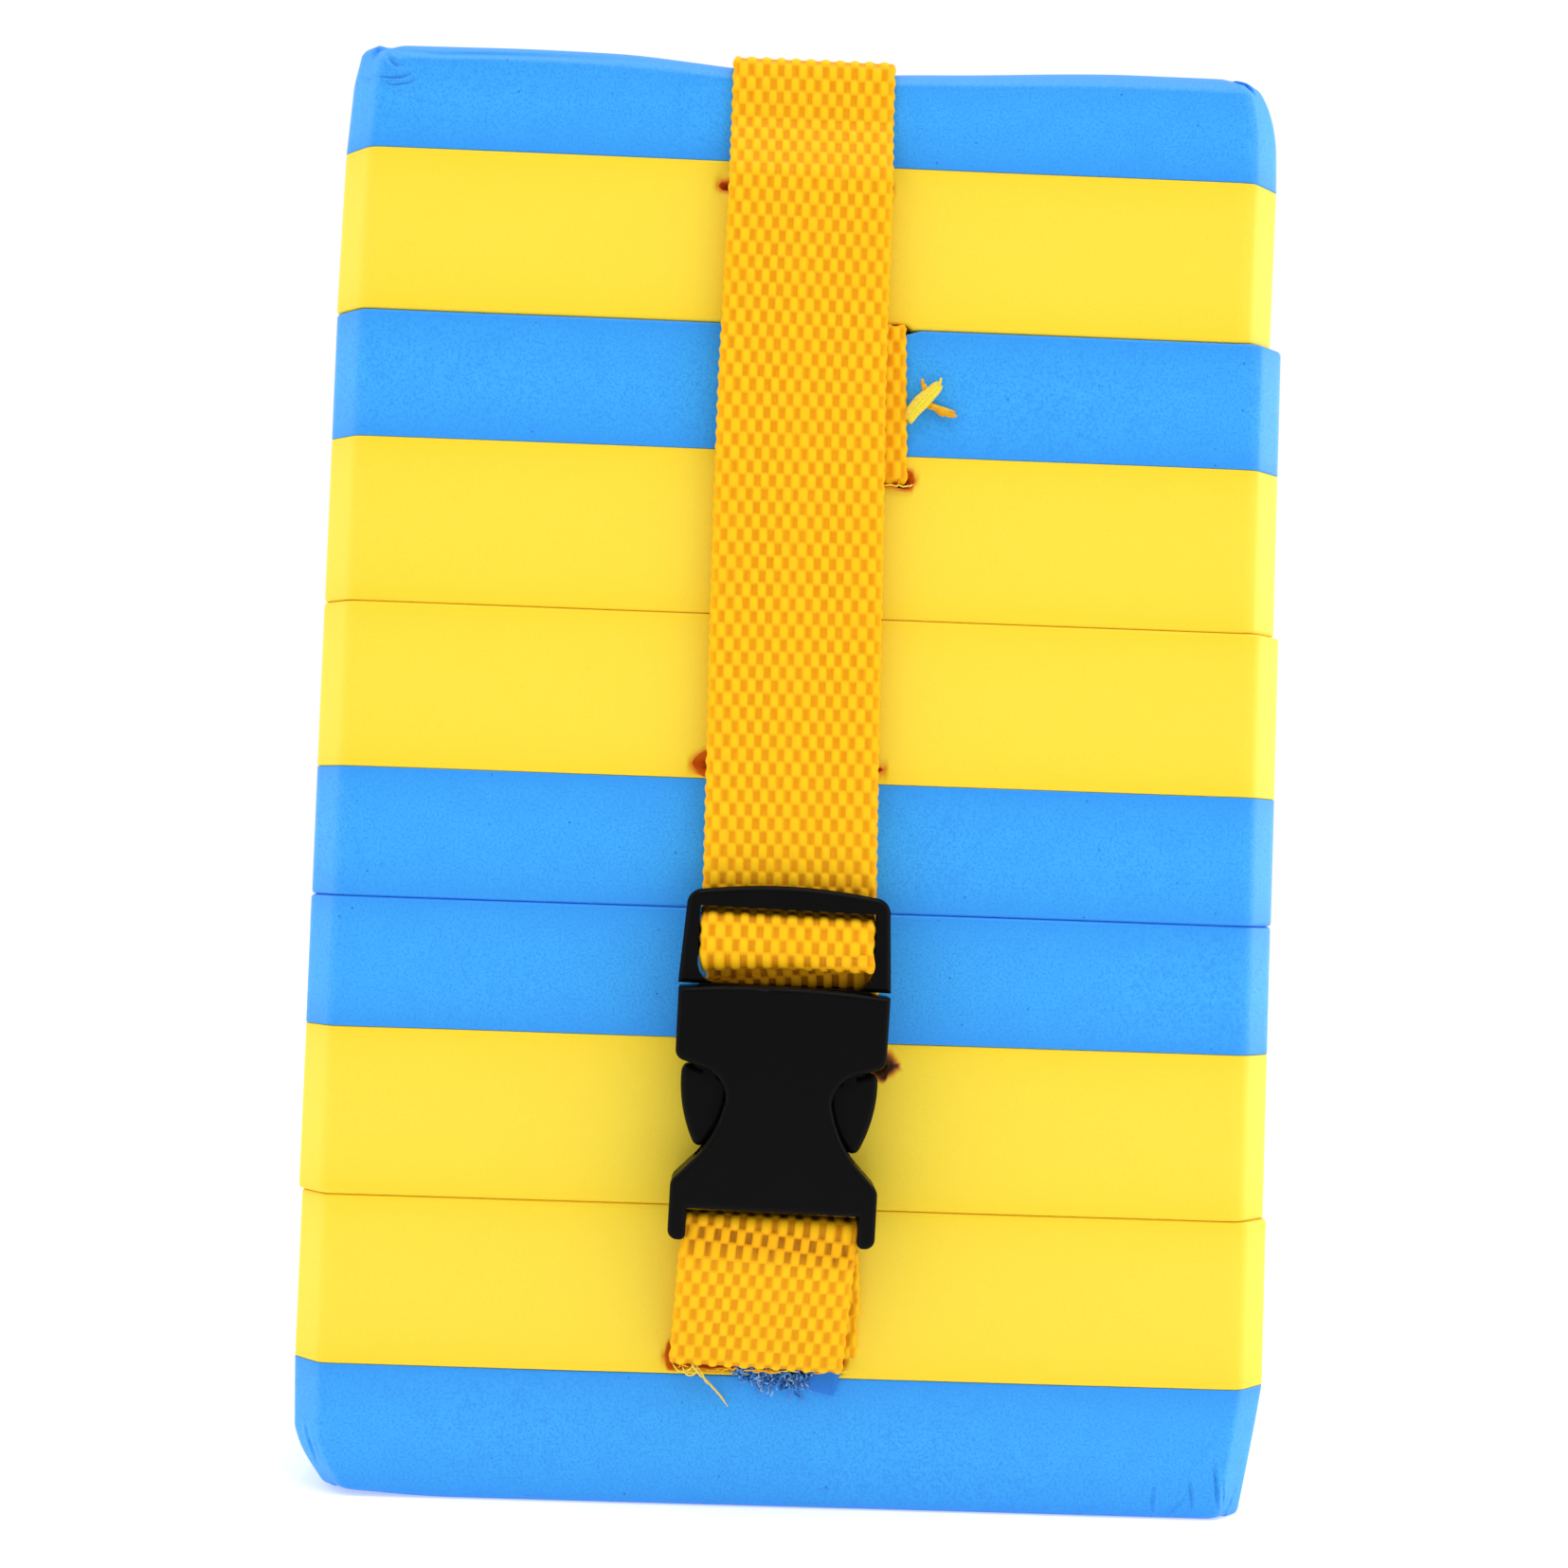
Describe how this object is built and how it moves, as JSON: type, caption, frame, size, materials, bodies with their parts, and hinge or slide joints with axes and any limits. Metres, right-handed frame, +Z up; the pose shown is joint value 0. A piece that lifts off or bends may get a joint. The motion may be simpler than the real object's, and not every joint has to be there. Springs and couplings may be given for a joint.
{
  "type": "swim back float",
  "caption": "Stack of two-colour foam blocks threaded on a webbing belt that fastens round it with a side-release buckle; a swim-training float.",
  "frame": {"origin": "on the ground under the middle of the whole float, stack standing on its lowest block", "axes": "+Z up along the stack of blocks, -Y towards the side with the buckle, +X to the right when looking at the buckle"},
  "size_m": [0.175, 0.1116, 0.2615],
  "materials": {
    "foam_blue": "matt closed-cell foam with fine skin pores",
    "foam_yellow": "matt closed-cell foam with fine skin pores",
    "belt_webbing": "coarse woven polypropylene webbing, slight sheen",
    "buckle_plastic": "satin moulded acetal",
    "thread": "sewing thread"
  },
  "bodies": {
    "root": {"belt_buckle_loop": "belt_webbing", "belt_standing_run": "belt_webbing", "belt_tail_end": "belt_webbing", "belt_tail_run": "belt_webbing", "belt_threaded_run": "belt_webbing", "block_1_blue": "foam_blue", "block_1_yellow": "foam_yellow", "block_2_blue": "foam_blue", "block_2_yellow": "foam_yellow", "block_3_blue": "foam_blue", "block_3_yellow": "foam_yellow", "block_4_blue": "foam_blue", "block_4_yellow": "foam_yellow", "block_5_blue": "foam_blue", "block_5_yellow": "foam_yellow", "buckle_female": "buckle_plastic", "hem_stitching": "thread", "loop_stitching": "thread"},
    "buckle_plug": {"belt_adjuster_turn": "belt_webbing", "buckle_male": "buckle_plastic"},
    "arm_left": {"release_arm_left": "buckle_plastic"},
    "arm_right": {"release_arm_right": "buckle_plastic"}
  },
  "joints": [
    {"name": "buckle_release", "type": "slide", "parent": "root", "child": "buckle_plug", "axis": [0.0209, 0, 0.9998], "range_m": [0, 0.032], "deforming": ["belt_standing_run", "belt_tail_run", "release_arm_left", "release_arm_right"]},
    {"name": "arm_left_squeeze", "type": "hinge", "parent": "buckle_plug", "child": "arm_left", "pos_m": [-0.01365, -0.05075, 0.08926], "axis": [0, -1, 0], "range_deg": [0, 8], "stiffness_Nm_per_rad": 0.08},
    {"name": "arm_right_squeeze", "type": "hinge", "parent": "buckle_plug", "child": "arm_right", "pos_m": [0.01094, -0.05075, 0.08874], "axis": [0, 1, 0], "range_deg": [0, 8], "stiffness_Nm_per_rad": 0.08}
  ],
  "couplings": [
    {"joint": "arm_right_squeeze", "follows": "arm_left_squeeze", "ratio": 1}
  ]
}
